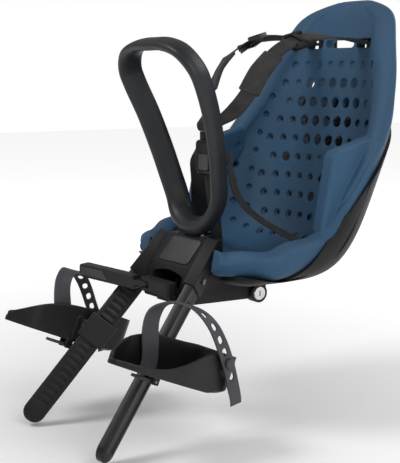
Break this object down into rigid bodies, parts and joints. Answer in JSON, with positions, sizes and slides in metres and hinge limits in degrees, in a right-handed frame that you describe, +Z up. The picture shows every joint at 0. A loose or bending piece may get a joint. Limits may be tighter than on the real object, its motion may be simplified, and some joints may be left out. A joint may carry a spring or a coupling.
{
  "type": "front-mounted child bicycle seat",
  "caption": "Front child seat for a bicycle: dished perforated foam bucket in a hard shell, harness, grab handle loop, docking console, ladder legs and sliding foot cups with straps.",
  "frame": {"origin": "middle of the dock's mouth in the console, where the bicycle's bracket enters", "axes": "-Y is where the child looks, the way the bracket leaves the dock; +Z up; +X is the child's left"},
  "size_m": [0.3422, 0.4978, 0.5627],
  "materials": {
    "foam": "matt closed-cell foam",
    "shell": "fine grain",
    "console": "fine grain",
    "cover": "satin",
    "handle": "soft satin",
    "leg": "fine grain",
    "footrest": "satin",
    "foot_strap": "matt",
    "lever": "satin",
    "black_plastic": "satin",
    "button": "satin",
    "webbing": "woven",
    "sleeve": "padded weave",
    "lock": "polished",
    "steel": "zinc plated"
  },
  "bodies": {
    "seat": {"seat_liner": "foam", "seat_shell": "shell", "liner_screws": "black_plastic", "strap_anchors": "black_plastic", "left_shoulder_strap": "webbing", "right_shoulder_strap": "webbing", "left_shoulder_sleeve": "sleeve", "right_shoulder_sleeve": "sleeve", "left_strap_slider": "black_plastic", "right_strap_slider": "black_plastic", "left_waist_strap": "webbing", "right_waist_strap": "webbing", "left_buckle_tongue": "black_plastic", "right_buckle_tongue": "black_plastic", "crotch_strap": "webbing", "buckle_body": "black_plastic", "console_body": "console", "console_cover": "cover", "lock_barrel": "lock", "handle_loop": "handle", "handle_collar": "black_plastic", "handle_bolts": "steel", "lever_base": "console", "lever_pin": "steel", "leg_screws": "steel", "left_leg": "leg", "right_leg": "leg"},
    "left_foot": {"left_footrest": "footrest", "left_latch_pin": "steel", "left_foot_strap": "foot_strap", "left_strap_peg": "foot_strap"},
    "left_latch": {"left_footrest_latch": "cover"},
    "right_foot": {"right_footrest": "footrest", "right_latch_pin": "steel", "right_foot_strap": "foot_strap", "right_strap_peg": "foot_strap"},
    "right_latch": {"right_footrest_latch": "cover"},
    "lever": {"release_lever": "lever"},
    "plug": {"lock_plug": "lock"},
    "button": {"buckle_button": "button"}
  },
  "joints": [
    {"name": "left_footrest_slide", "type": "slide", "parent": "seat", "child": "left_foot", "axis": [0.1405, -0.6399, -0.7555], "range_m": [0, 0.095]},
    {"name": "right_footrest_slide", "type": "slide", "parent": "seat", "child": "right_foot", "axis": [-0.1405, -0.6399, -0.7555], "range_m": [0, 0.095]},
    {"name": "left_latch_pivot", "type": "hinge", "parent": "left_foot", "child": "left_latch", "pos_m": [0.10779, -0.0974, -0.09451], "axis": [-0.996, -0.0826, 0.0347], "range_deg": [0, 9], "stiffness_Nm_per_rad": 0.3},
    {"name": "right_latch_pivot", "type": "hinge", "parent": "right_foot", "child": "right_latch", "pos_m": [-0.10779, -0.0974, -0.09451], "axis": [-0.996, 0.0826, -0.0347], "range_deg": [0, 9], "stiffness_Nm_per_rad": 0.3},
    {"name": "release_lever_pivot", "type": "hinge", "parent": "seat", "child": "lever", "pos_m": [-0.015, -0.024, -0.004], "axis": [0, 0, 1], "range_deg": [0, 75], "stiffness_Nm_per_rad": 0.4},
    {"name": "lock_plug_turn", "type": "hinge", "parent": "seat", "child": "plug", "pos_m": [0.058, 0.106, -0.0205], "axis": [1, 0, 0], "range_deg": [0, 90]},
    {"name": "buckle_button_push", "type": "slide", "parent": "seat", "child": "button", "axis": [0, 1, 0], "range_m": [0, 0.0025], "stiffness_N_per_m": 1500}
  ]
}
